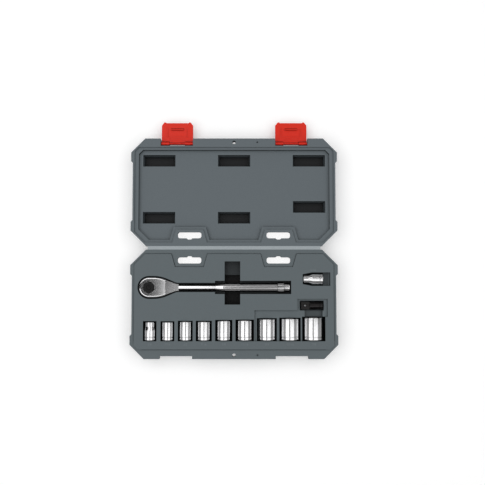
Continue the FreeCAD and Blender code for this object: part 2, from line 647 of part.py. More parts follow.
def ratchet_pocket(body):
    """The ratchet's bed: its head, its neck, its grip and a well for the square drive."""
    x, y, z = "Layout.ratchet_x", "Layout.ratchet_y", "Layout.ratchet_z"
    room = "(2*Size.pocket_side)"
    top = "Layout.deck"
    head = draw(new_sketch(body, "XY", top), shift(head_outline(room), x, y))
    pocket(body, head, f"{top}-{z}+Size.head_thick/2")
    neck_half = f"(Size.neck_radius+{room})"
    neck = box(f"{x}+Layout.neck_x-1", f"{y}-{neck_half}", f"{x}+Layout.grip_x", f"{y}+{neck_half}")
    pocket(body, draw(new_sketch(body, "XY", top), neck), f"{top}-{z}+Size.head_thick/2")
    grip_half = f"(Size.collar_radius+{room})"
    grip_end = f"{x}+Layout.end_x+Size.pocket_end"
    grip = box(f"{x}+Layout.grip_x-1", f"{y}-{grip_half}", grip_end, f"{y}+{grip_half}")
    pocket(body, draw(new_sketch(body, "XY", top), grip), f"{top}-{z}+Size.collar_radius+Size.seat_gap")
    well = draw_circle(new_sketch(body, "XY", top), x, y, "Size.boss_radius+Size.pocket_end")
    pocket(body, well, f"{top}-Size.base_floor")


def finger_relief(body):
    """The deep cross slot that lets fingers under the grip, with a shelf at its far end."""
    x = "(Layout.ratchet_x+Size.relief_along)"
    far = "(Layout.ratchet_y+Size.relief_up)"
    half = "Size.relief_wide/2"
    low = box(f"{x}-{half}", f"{far}-Size.relief_long", f"{x}+{half}", f"{far}-Size.shelf_long")
    pocket(body, draw(new_sketch(body, "XY", "Layout.deck"), low), "Layout.deck-2*Size.base_floor")
    shelf = box(f"{x}-{half}", f"{far}-Size.shelf_long-1", f"{x}+{half}", far)
    deep = "Layout.deck-2*Size.base_floor-Size.relief_shelf"
    pocket(body, draw(new_sketch(body, "XY", "Layout.deck"), shelf), deep)


def adapter_pocket(body):
    """The adapter's bed and the finger channel that runs into the largest socket's pocket."""
    x, y = "Layout.adapter_x", "Layout.adapter_y"
    half, wide = "(Size.adapter_long/2+Size.pocket_end)", "(Size.adapter_radius+Size.pocket_side)"
    bed = box(f"{x}-{half}", f"{y}-{wide}", f"{x}+{half}", f"{y}+{wide}")
    deep = "Layout.deck-Layout.tool_top+2*Size.adapter_radius+Size.recess_deep+Size.seat_gap"
    pocket(body, draw(new_sketch(body, "XY", "Layout.deck"), bed), deep)
    side = "(Size.adapter_neck/2)"
    socket = f"Layout.place_{LAST}"
    channel = box(f"{socket}-{side}", f"Layout.row_y+Size.long_{LAST}", f"{socket}+{side}", y)
    pocket(body, draw(new_sketch(body, "XY", "Layout.deck"), channel), "2*Size.recess_deep+Size.deck_rise")


def shallow_recess(body):
    """The stepped shallow recess round the largest sockets and the adapter."""
    first = NAMES[int(value("Size.recess_from")) - 1]
    low = "Layout.row_y-Size.pocket_end"
    left = f"Layout.place_{first}-Layout.pocket_{first}/2-Size.recess_side"
    edge = f"Layout.place_{LAST}+Layout.pocket_{LAST}/2"
    inner = "Layout.adapter_x-Size.adapter_long/2-Size.pocket_end-Size.recess_side"
    step = "Layout.row_y+Layout.longest+Size.recess_up"
    far = "Layout.adapter_y+Size.recess_round"
    corners = [
        (left, low),
        (edge, low),
        (edge, "Layout.row_y+Layout.longest+Size.pocket_end"),
        (f"{edge}+Size.recess_side", "Layout.row_y+Layout.longest+Size.pocket_end"),
        (f"{edge}+Size.recess_side", far),
        (inner, far),
        (inner, step),
        (left, step),
    ]
    pocket(body, draw(new_sketch(body, "XY", "Layout.deck"), corners), "Size.recess_deep")


def build_base():
    body = new_body("case_base")
    case_shell(body, "Size.catch_deep")
    deck = pad(body, draw(new_sketch(body, "XY", "Layout.rim"), rim_outline(0, 0, 0, 0)), "Size.deck_rise")
    round_edges(body, deck, "Size.deck_edge", lambda edge: lies_at(edge, value("Layout.deck")))
    shallow_recess(body)
    for name in NAMES:
        socket_trough(body, name)
    tapered_trough(body)
    finger_relief(body)
    ratchet_pocket(body)
    adapter_pocket(body)
    case_openings(body, "Layout.deck", "+")
    return body


# Lid of the case, modelled like the base and then turned half round to lie beyond the hinge

def lid_well(body, x, y):
    """A drafted well where the two walls of the lid are welded together."""
    long, wide = "Size.well_long/2", "Size.well_wide/2"
    corners = box(f"{x}-{long}", f"{y}-{wide}", f"{x}+{long}", f"{y}+{wide}")
    sketch = draw(new_sketch(body, "XY", "Layout.rim-Layout.lid_deep"), corners)
    pocket(body, sketch, "Size.well_deep", draft="-Size.well_draft")


def build_lid():
    body = new_body("case_lid")
    case_shell(body, "Size.pin_in+Size.knuckle_radius+Size.latch_room")
    room = "-Size.rim_room"
    step = draw(new_sketch(body, "XY", "Layout.rim"), rim_outline(room, room, room, room))
    pocket(body, step, "Size.deck_rise+Size.step_room")
    ledge = "Size.ledge_front"
    panel = draw(new_sketch(body, "XY", "Layout.rim"), rim_outline("Size.ledge_side", ledge, ledge, ledge))
    pocket(body, panel, "Layout.lid_deep")
    front, back = "-Layout.half_depth+Size.well_front", "-Layout.half_depth+Size.well_back"
    for x in ("-Size.well_pitch", "0", "Size.well_pitch"):
        lid_well(body, x, front)
        lid_well(body, x, f"{back}-Size.well_shift" if x.startswith("-") else back)
    case_openings(body, "Layout.rim", "-")
    for sign in "+-":
        start = f"{sign}Size.latch_pitch-Layout.latch_half-Size.pin_hold"
        hole = new_sketch(body, "YZ", start)
        draw_circle(hole, "-Layout.half_depth+Size.pin_in", "Layout.pin_z", "Size.pin_radius")
        pocket(body, hole, "2*Layout.latch_half+2*Size.pin_hold", flip=True)
    place(body, 0, "2*Layout.axis_y", 0, Rotation(Vector(0, 0, 1), 180))
    return body


def build_hinge_web():
    """The thin web that the two halves fold on."""
    web = doc.addObject("Part::Box", "living_hinge")
    half = "(Layout.ear_half-Size.corner_hinge-Size.web_inset)"
    bind(web, "Length", f"2*{half}")
    bind(web, "Width", "Size.hinge_gap")
    bind(web, "Height", "Size.web_thick")
    place(web, f"-{half}", "Layout.half_depth", "Layout.rim-Size.web_down-Size.web_thick")
    return web


# Latches

def latch_outline():
    """A latch's plate from inside: cut corners and two small horns at the free end."""
    half, end = "Size.latch_wide/2", "Size.latch_reach"
    cut, horn = "Size.latch_cut", "Size.horn_rise"
    right = [
        (half, "-Size.knuckle_radius"),
        (half, f"{end}-{cut}-{horn}"),
        (f"{half}-{cut}", end),
        (f"{half}-{cut}-2*{horn}", end),
        (f"{half}-{cut}-3*{horn}", f"{end}-{horn}"),
    ]
    left = [(f"-({x})", y) for x, y in reversed(right)]
    return right + left


def build_latch(label, sign):
    """A moulded latch with two knuckles, a hook and finger ribs, lying open beyond the lid."""
    body = new_body(label)
    under = "Layout.plate_top"
    plate = draw(new_sketch(body, "XY", f"{under}-Size.latch_plate"), latch_outline())
    pad(body, plate, "Size.latch_plate")
    turn, half = "Size.knuckle_radius", "Size.latch_wide/2"
    knuckle = [
        (turn, f"{under}-Size.latch_plate/2"),
        (turn, "0", turn),
        ("0", turn, turn),
        (f"-{turn}", "0"),
        (f"-{turn}", f"{under}-Size.latch_plate/2"),
    ]
    for start in (f"-{half}", f"{half}-Size.knuckle_wide"):
        pad(body, draw(new_sketch(body, "YZ", start), knuckle), "Size.knuckle_wide")
    hook = [
        ("Layout.hook_from", f"{under}-Size.latch_plate/2"),
        ("Layout.hook_from+Size.latch_lip", f"{under}-Size.latch_plate/2"),
        ("Layout.hook_from+Size.latch_lip", under),
        ("Layout.hook_from+Size.latch_lip/2", f"{under}+Size.latch_lip"),
        ("Layout.hook_from", f"{under}+Size.latch_lip"),
    ]
    pad(body, draw(new_sketch(body, "YZ", 0), hook), "2*Size.hook_half", middle=True)
    rib_half, rib_long = "Size.latch_plate/4", "Layout.hook_from/2"
    for side in "+-":
        x = f"{side}(Size.hook_half+Size.latch_plate*2)"
        rib = box(f"{x}-{rib_half}", rib_long, f"{x}+{rib_half}", f"{rib_long}*2+Size.latch_lip")
        sketch = draw(new_sketch(body, "XY", f"{under}-Size.latch_plate/2"), rib)
        pad(body, sketch, "Size.latch_plate/2+Size.latch_rib")
    gap = f"({half}-Size.knuckle_wide)"
    window = box(f"-{gap}", f"-{turn}-1", gap, "Size.pin_radius")
    pocket(body, draw(new_sketch(body, "XY", under), window), "Size.latch_plate")
    bore = draw_circle(new_sketch(body, "YZ", 0), "0", "0", "Size.pin_radius+Size.pin_fit")
    pocket(body, bore, "Size.latch_wide", middle=True)
    place(body, f"{sign}Size.latch_pitch", "2*Layout.axis_y+Layout.half_depth-Size.pin_in", "Layout.pin_z")
    return body


def build_latch_pin(label, sign):
    pin = doc.addObject("Part::Cylinder", label)
    length = "2*Layout.latch_half+2*Size.pin_hold"
    bind(pin, "Radius", "Size.pin_radius")
    bind(pin, "Height", length)
    x = f"{sign}Size.latch_pitch-Layout.latch_half-Size.pin_hold"
    y = "2*Layout.axis_y+Layout.half_depth-Size.pin_in"
    place(pin, x, y, "Layout.pin_z", Rotation(Vector(0, 1, 0), 90))
    return pin


# Sockets

def polygon(sides, across):
    """Corners of a regular polygon with a bound size across its flats."""
    turn = 360 / sides
    reach = f"{across}/2/cos({turn / 2})"
    return [(f"{reach}*cos({turn * (n + 0.5)})", f"{reach}*sin({turn * (n + 0.5)})") for n in range(sides)]


def build_socket(label, flats, body_dia, nose_dia, length, body_long):
    """A six-sided socket on its own axis, drive end down, turned from one profile."""
    body = new_body(label)
    full, nose, edge = f"{body_dia}/2", f"{nose_dia}/2", "Size.edge_break"
    band, deep = "Size.band_from_end", "Size.band_deep"
    mouth = f"{flats}/sqrt(3)"
    profile = [
        ("0", "0"),
        (f"{full}-{edge}", "0"),
        (full, edge),
        (full, band),
        (f"{full}-{deep}", f"{band}+{deep}"),
        (f"{full}-{deep}", f"{band}+Size.band_wide-{deep}"),
        (full, f"{band}+Size.band_wide"),
    ]
    if value(body_dia) > value(nose_dia) + 0.01:
        profile.append((full, body_long))
        profile.append((nose, f"{body_long}+({length}-{body_long})*Size.nose_slope"))
    profile += [
        (nose, f"{length}-{edge}"),
        (f"{nose}-{edge}", length),
        (mouth, length),
        (f"{flats}/2", f"{length}-Size.lead_in"),
        ("0", f"{length}-Size.lead_in"),
    ]
    revolve(body, draw(new_sketch(body, "XZ", 0), profile), "V_Axis")
    hexagon = draw(new_sketch(body, "XY", length), polygon(6, flats))
    pocket(body, hexagon, f"{length}-Size.drive_deep-Size.socket_web")
    square = draw(new_sketch(body, "XY", 0), polygon(4, "(Size.drive_square+Size.drive_room)"))
    pocket(body, square, "Size.drive_deep", flip=True)
    bore = draw_circle(new_sketch(body, "XY", 0), "0", "0", "Size.socket_bore/2")
    pocket(body, bore, length, flip=True)
    return body


def build_sockets():
    """The row of sockets, lying with their drive ends to the front, and the tapered one."""
    bodies = []
    lay_back = Rotation(Vector(1, 0, 0), -90)
    for name in NAMES:
        long = f"Size.long_{name}"
        dia = f"Layout.dia_{name}"
        sizes_of = (f"Size.flats_{name}", dia, f"Layout.nose_{name}", long, f"{long}*Size.nose_from")
        socket = build_socket(f"socket_{name}", *sizes_of)
        place(socket, f"Layout.place_{name}", "Layout.row_y", f"Layout.tool_top-{dia}/2", lay_back)
        bodies.append(socket)
    dia = "Layout.boss_dia"
    sizes_of = ("Size.tapered_flats", dia, "Layout.tapered_nose", "Size.tapered_long", "Size.tapered_body")
    tapered = build_socket("socket_5_16", *sizes_of)
    lay_left = Rotation(Vector(0, 1, 0), -90)
    place(tapered, "Layout.tapered_x", "Layout.tapered_y", f"Layout.tool_top-{dia}/2", lay_left)
    return bodies + [tapered]


# Ratchet, built about the middle of its head with the handle along +X

def set_on_ratchet(item, x=0, y=0, z=0, rotation=Rotation()):
    place(item, f"Layout.ratchet_x+{x}", f"Layout.ratchet_y+{y}", f"Layout.ratchet_z+{z}", rotation)
    return item


def handle_profile():
    """Half of the turned handle: neck, flare, grip, collar and end knob."""
    grip, turn = "Size.grip_radius", "Size.end_round"
    return [
        ("Layout.waist_x", "0"),
        ("Layout.end_x", "0"),
        ("Layout.end_x", f"{grip}-{turn}", turn),
        (f"Layout.end_x-{turn}", grip),
        ("Layout.knob_x", grip),
        ("Layout.knob_x", f"Size.collar_radius-{turn}/2"),
        (f"Layout.knob_x-{turn}/2", "Size.collar_radius"),
        (f"Layout.collar_x+{turn}/2", "Size.collar_radius"),
        ("Layout.collar_x", f"Size.collar_radius-{turn}/2"),
        ("Layout.collar_x", grip),
        ("Layout.grip_x+Size.flare_long", grip),
        ("Layout.grip_x", "Size.neck_radius"),
        ("Layout.waist_x", "Size.neck_radius"),
    ]


def build_ratchet_body():
    """The forged head and turned handle, bored for the gear, the pawl, the dial and the cover."""
    body = new_body("ratchet_body")
    half, fit = "Size.head_thick/2", "Size.run_fit"
    head = pad(body, draw(new_sketch(body, "XY", f"-{half}"), head_outline("0.0")), "Size.head_thick")
    round_edges(body, head, "Size.head_edge", lambda edge: edge.BoundBox.XLength > 0.01)
    for sign in "+-":
        slope = [
            ("Size.thin_from", f"{sign}{half}"),
            ("Layout.neck_x", f"{sign}Size.neck_radius"),
            ("Layout.neck_x+1", f"{sign}Size.neck_radius"),
            ("Layout.neck_x+1", f"{sign}({half}+1)"),
            ("Size.thin_from", f"{sign}({half}+1)"),
        ]
        pocket(body, draw(new_sketch(body, "XZ", 0), slope), "3*Size.head_radius", middle=True)
    revolve(body, draw(new_sketch(body, "XZ", 0), handle_profile()), "H_Axis")
    low = f"-{half}"
    cover = draw_circle(new_sketch(body, "XY", low), "0", "0", f"Size.cover_radius+{fit}")
    pocket(body, cover, "Size.cover_thick", flip=True)
    tail = box("0", f"-Size.cover_half-{fit}", f"Size.cover_tail+{fit}", f"Size.cover_half+{fit}")
    pocket(body, draw(new_sketch(body, "XY", low), tail), "Size.cover_thick", flip=True)
    deep = f"{half}+Layout.gear_top+Size.gear_room"
    cavity = draw_circle(new_sketch(body, "XY", low), "0", "0", "Size.gear_radius+Size.gear_room")
    pocket(body, cavity, deep, flip=True)
    nest = new_sketch(body, "XY", low)
    draw_circle(nest, "Size.pawl_along", "0", "Size.pawl_radius+Size.pawl_room")
    pocket(body, nest, deep, flip=True)
    journal = draw_circle(new_sketch(body, "XY", half), "0", "0", f"Size.journal_radius+{fit}")
    pocket(body, journal, "Size.head_thick")
    hub = draw_circle(new_sketch(body, "XY", half), "0", "0", f"Size.hub_radius+{fit}")
    pocket(body, hub, "Size.hub_long+Size.dial_seat")
    pin = draw_circle(new_sketch(body, "XY", "Layout.gear_top"), PAWL_PIN, "0", "Size.pawl_pin")
    pocket(body, pin, "Size.cover_thick+Size.gear_room", flip=True)
    for sign in "+-":
        screw = new_sketch(body, "XY", low)
        draw_circle(screw, "Size.screw_along", f"{sign}Size.screw_side", "Size.screw_radius")
        pocket(body, screw, "Size.screw_long+Size.seat_gap", flip=True)
    return set_on_ratchet(body)


def build_drive_gear():
    """The toothed drive gear with its journal, its boss, its square drive and the release bore."""
    body = new_body("drive_gear")
    radius, root = "Size.gear_radius", "(Size.gear_radius-Size.tooth_deep)"
    disc = draw_circle(new_sketch(body, "XY", "Layout.gear_foot"), "0", "0", radius)
    pad(body, disc, "Size.gear_thick")
    pitch = "(360/Size.tooth_count)"
    wide, slim = f"({pitch}*(0.5-Size.tooth_tip))", f"({pitch}*(0.5-Size.tooth_root))"
    over = f"({radius}+Size.tooth_deep)"
    space = [
        (f"{root}*cos({slim})", f"-{root}*sin({slim})"),
        (f"{over}*cos({wide})", f"-{over}*sin({wide}*1.4)"),
        (f"{over}*cos({wide})", f"{over}*sin({wide}*1.4)"),
        (f"{root}*cos({slim})", f"{root}*sin({slim})"),
    ]
    cut = pocket(body, draw(new_sketch(body, "XY", "Layout.gear_top"), space), "Size.gear_thick")
    ring = body.newObject("PartDesign::PolarPattern", "drive_gear_teeth")
    ring.Originals = [cut]
    ring.Axis = ([f for f in body.Origin.OriginFeatures if f.Role == "Z_Axis"][0], [""])
    ring.Angle = 360
    bind(ring, "Occurrences", "Size.tooth_count")
    body.Tip = ring
    doc.recompute()
    journal = draw_circle(new_sketch(body, "XY", "Layout.gear_top"), "0", "0", "Size.journal_radius")
    rise = "Size.head_thick/2-Size.hub_long-2*Size.dial_seat-Layout.gear_top"
    pad(body, journal, rise)
    boss = draw_circle(new_sketch(body, "XY", "Layout.gear_foot"), "0", "0", "Size.boss_radius")
    pad(body, boss, "Size.boss_long", flip=True)
    square = draw(new_sketch(body, "XY", "Layout.boss_foot"), polygon(4, "Size.drive_square"))
    tang = pad(body, square, "Size.drive_long", flip=True)
    foot = value("Layout.drive_foot")
    round_edges(body, tang, "Size.edge_break", lambda edge: lies_at(edge, foot))
    top = f"(Layout.gear_top+{rise})"
    stem = draw_circle(new_sketch(body, "XY", top), "0", "0", "Size.stem_radius+Size.run_fit")
    pocket(body, stem, f"{top}-Layout.ball_z+Size.ball_radius+Size.button_travel+Size.seat_gap")
    well = draw_circle(new_sketch(body, "XY", top), "0", "0", "Size.button_radius+Size.run_fit")
    pocket(body, well, f"{top}-Layout.button_z+Size.button_travel+{SPRING_LONG}")
    ball = draw_circle(new_sketch(body, "XZ", 0), "0", "Layout.ball_z", "Size.ball_radius+Size.run_fit")
    pocket(body, ball, "Size.drive_square")
    return set_on_ratchet(body)


def build_release_button():
    """The push button with its stem, waisted so that the ball drops in when it is pressed."""
    body = new_body("release_button")
    head, stem, waist = "Size.button_radius", "Size.stem_radius", "Size.stem_waist"
    slope = f"2*({stem}-{waist})"
    low = "Layout.ball_z"
    profile = [
        ("0", f"{low}-Size.ball_radius"),
        (stem, f"{low}-Size.ball_radius"),
        (stem, f"{low}-Size.ball_radius/2"),
        (waist, f"{low}-Size.ball_radius/2+{slope}"),
        (waist, f"{low}+Size.ball_radius/2+{slope}"),
        (stem, f"{low}+Size.ball_radius/2+2*{slope}"),
        (stem, "Layout.button_z"),
        (head, "Layout.button_z"),
        (head, "Layout.ratchet_top-Size.edge_break"),
        (f"{head}-Size.edge_break", "Layout.ratchet_top"),
        ("0", "Layout.ratchet_top"),
    ]
    revolve(body, draw(new_sketch(body, "XZ", 0), profile), "V_Axis")
    return set_on_ratchet(body)


def build_spring(label, radius, wire, turns, room):
    """A coil spring that fills its room, a wire swept along short straight steps from z = 0."""
    spring = doc.addObject("Part::Feature", label)
    thin = value(wire) / 2
    rise = value(room) - 2.4 * thin
    coil = value(radius)
    steps = int(value(turns)) * SPRING_STEPS
    path = []
    for step in range(steps + 1):
        angle = 2 * math.pi * step / SPRING_STEPS
        path.append(Vector(coil * math.cos(angle), coil * math.sin(angle), rise * step / steps))
    corners = []
    for side in range(SPRING_SIDES + 1):
        angle = 2 * math.pi * side / SPRING_SIDES
        corners.append(Vector(coil + thin * math.cos(angle), 0, thin * math.sin(angle)))
    section = Part.makePolygon(corners)
    spring.Shape = Part.makePolygon(path).makePipeShell([section], True, False, 1)
    return spring


def build_ball(label, radius):
    ball = doc.addObject("Part::Sphere", label)
    bind(ball, "Radius", radius)
    return ball


def build_pawl():
    """The rocking pawl: a crescent with teeth at both ends, its upper end in mesh."""
    pawl = doc.addObject("Part::Feature", "pawl")
    tip, deep = value("Size.gear_radius"), value("Size.tooth_deep")
    thick = value("Size.gear_thick") - 2 * value("Size.dial_seat")
    half_rock = value("Size.pawl_lift") / (tip * math.tan(math.radians(value("Size.pawl_angle")))) / 2
    rock = math.degrees(half_rock)
    pivot = Vector(value(PAWL_PIN), 0, 0)
    lift = value("Size.pawl_lift")
    up = Vector(0, 0, 1)
    disc = Part.makeCylinder(value("Size.pawl_radius"), thick, Vector(value("Size.pawl_along"), 0, 0))
    crescent = disc.cut(Part.makeCylinder(tip + lift, thick))
    crescent.rotate(pivot, up, rock)
    pitch = 360 / value("Size.tooth_count")
    slack = math.degrees(value("Size.mesh_room") / tip)
    wide = pitch * (0.5 - value("Size.tooth_tip")) - slack
    slim = pitch * (0.5 - value("Size.tooth_root")) * 0.6
    count = int(value("Size.pawl_teeth"))
    middle = round(value("Size.pawl_angle") / pitch) * pitch
    inner, outer = tip - deep + value("Size.mesh_room") * 2, tip + 2 * lift
    teeth = []
    for number in range(count):
        angle = middle + (number - (count - 1) / 2) * pitch
        ring = [(inner, -slim), (outer, -wide), (outer, wide), (inner, slim)]
        spots = []
        for radius, offset in ring:
            turn = math.radians(angle + offset)
            spots.append(Vector(radius * math.cos(turn), radius * math.sin(turn), 0))
        face = Part.Face(Part.makePolygon(spots + spots[:1]))
        teeth.append(face.extrude(Vector(0, 0, thick)))
    for tooth in list(teeth):
        other = tooth.mirror(Vector(0, 0, 0), Vector(0, 1, 0))
        other.rotate(pivot, up, 2 * rock)
        teeth.append(other)
    shape = crescent.multiFuse(teeth).removeSplitter()
    shape = shape.cut(Part.makeCylinder(value("Size.pawl_pin") + value("Size.run_fit"), thick, pivot))
    pawl.Shape = shape
    return set_on_ratchet(pawl, 0, 0, "Layout.gear_foot+Size.dial_seat")


def build_pawl_pin():
    pin = doc.addObject("Part::Cylinder", "pawl_pin")
    bind(pin, "Radius", "Size.pawl_pin")
    bind(pin, "Height", "Layout.gear_top+Size.gear_room+Size.head_thick/2")
    return set_on_ratchet(pin, PAWL_PIN, 0, "-Size.head_thick/2+Size.cover_thick")


def build_cover_plate():
    """The plate that closes the head round the drive, with countersinks for its screws."""
    body = new_body("cover_plate")
    low = "-Size.head_thick/2"
    disc = draw_circle(new_sketch(body, "XY", low), "0", "0", "Size.cover_radius")
    pad(body, disc, "Size.cover_thick")
    tail = box("0", "-Size.cover_half", "Size.cover_tail", "Size.cover_half")
    pad(body, draw(new_sketch(body, "XY", low), tail), "Size.cover_thick")
    bore = draw_circle(new_sketch(body, "XY", low), "0", "0", "Size.boss_radius+Size.run_fit")
    pocket(body, bore, "Size.cover_thick", flip=True)
    for sign in "+-":
        hole = new_sketch(body, "XY", low)
        draw_circle(hole, "Size.screw_along", f"{sign}Size.screw_side", "Size.screw_head")
        pocket(body, hole, "Size.cover_thick", flip=True)
    return set_on_ratchet(body)


def build_cover_screws():
    """The two cover screws, one group of separate solids."""
    screws = doc.addObject("Part::Feature", "cover_screws")
    head, shank = value("Size.screw_head"), value("Size.screw_radius")
    thick, length = value("Size.cover_thick"), value("Size.screw_long")
    solids = []
    for side in (1, -1):
        foot = Vector(value("Size.screw_along"), side * value("Size.screw_side"), 0)
        screw = Part.makeCylinder(head, thick, foot).fuse(Part.makeCylinder(shank, length, foot))
        slot = Part.makeBox(2 * head, shank / 2, thick / 3, foot + Vector(-head, -shank / 4, 0))
        solids.append(screw.cut(slot).removeSplitter().Solids[0])
    screws.Shape = Part.makeCompound(solids)
    return set_on_ratchet(screws, 0, 0, "-Size.head_thick/2")


def build_dial():
    """The fluted reversing dial with its hub, bored for the release button."""
    body = new_body("reversing_dial")
    low = "Size.head_thick/2+Size.dial_seat"
    outer, edge = "Size.dial_radius", "Size.edge_break"
    profile = [
        ("Size.button_radius+Size.run_fit", f"{low}-Size.hub_long"),
        ("Size.hub_radius", f"{low}-Size.hub_long"),
        ("Size.hub_radius", low),
        (outer, low),
        (outer, f"{low}+Size.dial_thick-{edge}"),
        (f"{outer}-{edge}", f"{low}+Size.dial_thick"),
        ("Size.button_radius+Size.run_fit", f"{low}+Size.dial_thick"),
    ]
    revolve(body, draw(new_sketch(body, "XZ", 0), profile), "V_Axis")
    flute = draw_circle(new_sketch(body, "XY", f"{low}+Size.dial_thick"), outer, "0", "Size.knurl_radius")
    cut = pocket(body, flute, "Size.dial_thick")
    ring = body.newObject("PartDesign::PolarPattern", "reversing_dial_flutes")
    ring.Originals = [cut]
    ring.Axis = ([f for f in body.Origin.OriginFeatures if f.Role == "Z_Axis"][0], [""])
    ring.Angle = 360
    bind(ring, "Occurrences", "Size.knurl_count")
    body.Tip = ring
    doc.recompute()
    return set_on_ratchet(body)


# Drive adapter

def build_adapter():
    """A black adapter with a square drive at its left end and a square hole at its right end."""
    body = new_body("drive_adapter")
    radius, end = "Size.adapter_radius", "Size.adapter_long/2"
    neck = f"(-{end}+Size.drive_long)"
    groove, deep = f"({end}-Size.adapter_groove)", "Size.band_deep"
    profile = [
        (neck, "0"),
        (end, "0"),
        (end, f"{radius}-Size.edge_break"),
        (f"{end}-Size.edge_break", radius),
        (f"{groove}+Size.band_wide", radius),
        (f"{groove}+Size.band_wide-{deep}", f"{radius}-{deep}"),
        (f"{groove}+{deep}", f"{radius}-{deep}"),
        (groove, radius),
        (f"{neck}+Size.edge_break", radius),
        (neck, f"{radius}-Size.edge_break"),
    ]
    revolve(body, draw(new_sketch(body, "XZ", 0), profile), "H_Axis")
    half = "Size.drive_square/2"
    square = draw(new_sketch(body, "YZ", f"-{end}"), box(f"-{half}", f"-{half}", half, half))
    tang = pad(body, square, "Size.drive_long+Size.edge_break")
    left = value(f"-{end}")
    round_edges(body, tang, "Size.edge_break", lambda edge: edge.BoundBox.XMax < left + 1e-4)
    side = "Size.adapter_square/2"
    hole = draw(new_sketch(body, "YZ", end), box(f"-{side}", f"-{side}", side, side))
    pocket(body, hole, "Size.adapter_hole")
    seat = draw_circle(new_sketch(body, "XY", half), f"-{end}+Size.drive_long/2", "0", ADAPTER_SEAT)
    pocket(body, seat, f"Size.drive_square/2-({ADAPTER_FLOOR})")
    place(body, "Layout.adapter_x", "Layout.adapter_y", ADAPTER_Z)
    return body


def build_all():
    parts = [build_base(), build_lid(), build_hinge_web()]
    for side, sign in (("left", "-"), ("right", "+")):
        parts.append(build_latch(f"latch_{side}", sign))
        parts.append(build_latch_pin(f"latch_pin_{side}", sign))
    parts += build_sockets()
    parts += [build_ratchet_body(), build_drive_gear(), build_release_button()]
    middle = "(Size.button_radius+Size.stem_radius)/2"
    room = f"({SPRING_LONG}+Size.button_travel)"
    release_spring = build_spring("release_spring", middle, "Size.spring_wire", "Size.spring_turns", room)
    parts.append(set_on_ratchet(release_spring, 0, 0, f"Layout.button_z-{room}+Size.spring_wire*0.6"))
    drive_ball = build_ball("drive_ball", "Size.ball_radius")
    parts.append(set_on_ratchet(drive_ball, 0, "Layout.ball_out", "Layout.ball_z"))
    parts += [build_pawl(), build_pawl_pin(), build_cover_plate(), build_cover_screws(), build_dial()]
    parts.append(build_adapter())
    adapter_ball = build_ball("adapter_ball", "Size.adapter_ball")
    ball_x = "Layout.adapter_x-Size.adapter_long/2+Size.drive_long/2"
    ball_z = f"{ADAPTER_Z}+Size.drive_square/2+Size.adapter_lift-Size.adapter_ball"
    place(adapter_ball, ball_x, "Layout.adapter_y", ball_z)
    parts.append(adapter_ball)
    coil = ("Size.adapter_ball*0.7", "Size.adapter_wire", "Size.spring_turns", "Size.adapter_coil")
    adapter_spring = build_spring("adapter_spring", *coil)
    place(adapter_spring, ball_x, "Layout.adapter_y", f"{ADAPTER_Z}+{ADAPTER_FLOOR}+Size.adapter_wire*0.6")
    parts.append(adapter_spring)
    return parts


def export(parts):
    """Check every object and solid, then write each sub-part."""
    doc.recompute()
    for item in doc.Objects:
        if "Invalid" in item.State or "Error" in item.State:
            raise ValueError(f"{item.Name} failed: {item.State}")
    for part in parts:
        if part.Shape.isNull() or not part.Shape.isValid():
            raise ValueError(f"{part.Label} has no valid shape")
    os.makedirs("parts", exist_ok=True)
    for part in parts:
        part.Shape.exportStep(f"parts/{part.Label}.step")
        print(part.Label, len(part.Shape.Solids), round(part.Shape.Volume, 1))


export(build_all())
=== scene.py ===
# %% [markdown]
# # A socket wrench set in its moulded case
# The case lies open and flat, seen from above. Its shapes come from the solid model, in metres.
# This lesson dresses that model: it smooths the meshes, gives each piece a procedural material,
# adds the small marks that the solids leave out, and lights the set like a studio photograph.

# %% Load the model and keep its box
import math

import bpy
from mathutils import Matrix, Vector


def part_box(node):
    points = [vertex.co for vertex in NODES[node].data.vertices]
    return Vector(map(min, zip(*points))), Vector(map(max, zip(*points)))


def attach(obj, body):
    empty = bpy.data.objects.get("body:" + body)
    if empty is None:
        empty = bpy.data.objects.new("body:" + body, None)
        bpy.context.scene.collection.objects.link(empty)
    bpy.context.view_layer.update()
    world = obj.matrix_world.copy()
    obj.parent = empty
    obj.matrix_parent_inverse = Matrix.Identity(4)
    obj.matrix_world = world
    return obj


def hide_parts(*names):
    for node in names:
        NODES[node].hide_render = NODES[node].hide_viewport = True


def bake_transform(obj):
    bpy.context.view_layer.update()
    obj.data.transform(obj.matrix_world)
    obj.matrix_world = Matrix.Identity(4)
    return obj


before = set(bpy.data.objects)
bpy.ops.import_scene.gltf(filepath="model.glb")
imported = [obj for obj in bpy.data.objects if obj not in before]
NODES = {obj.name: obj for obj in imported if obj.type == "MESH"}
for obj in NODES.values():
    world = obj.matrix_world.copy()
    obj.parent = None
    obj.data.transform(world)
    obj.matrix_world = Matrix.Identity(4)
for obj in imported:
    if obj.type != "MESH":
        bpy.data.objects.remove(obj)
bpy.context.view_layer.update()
print("nodes:", len(NODES))

# %% [markdown]
# ## Colours
# Colours are easiest to judge as screen values, so they are written that way here.
# A material wants linear light, so each one is converted once.

# %% Colours
def linear(red, green, blue):
    """Screen values from 0 to 255 as linear light."""
    parts = [channel / 255 for channel in (red, green, blue)]
    return tuple(c / 12.92 if c <= 0.04045 else ((c + 0.055) / 1.055) ** 2.4 for c in parts) + (1.0,)


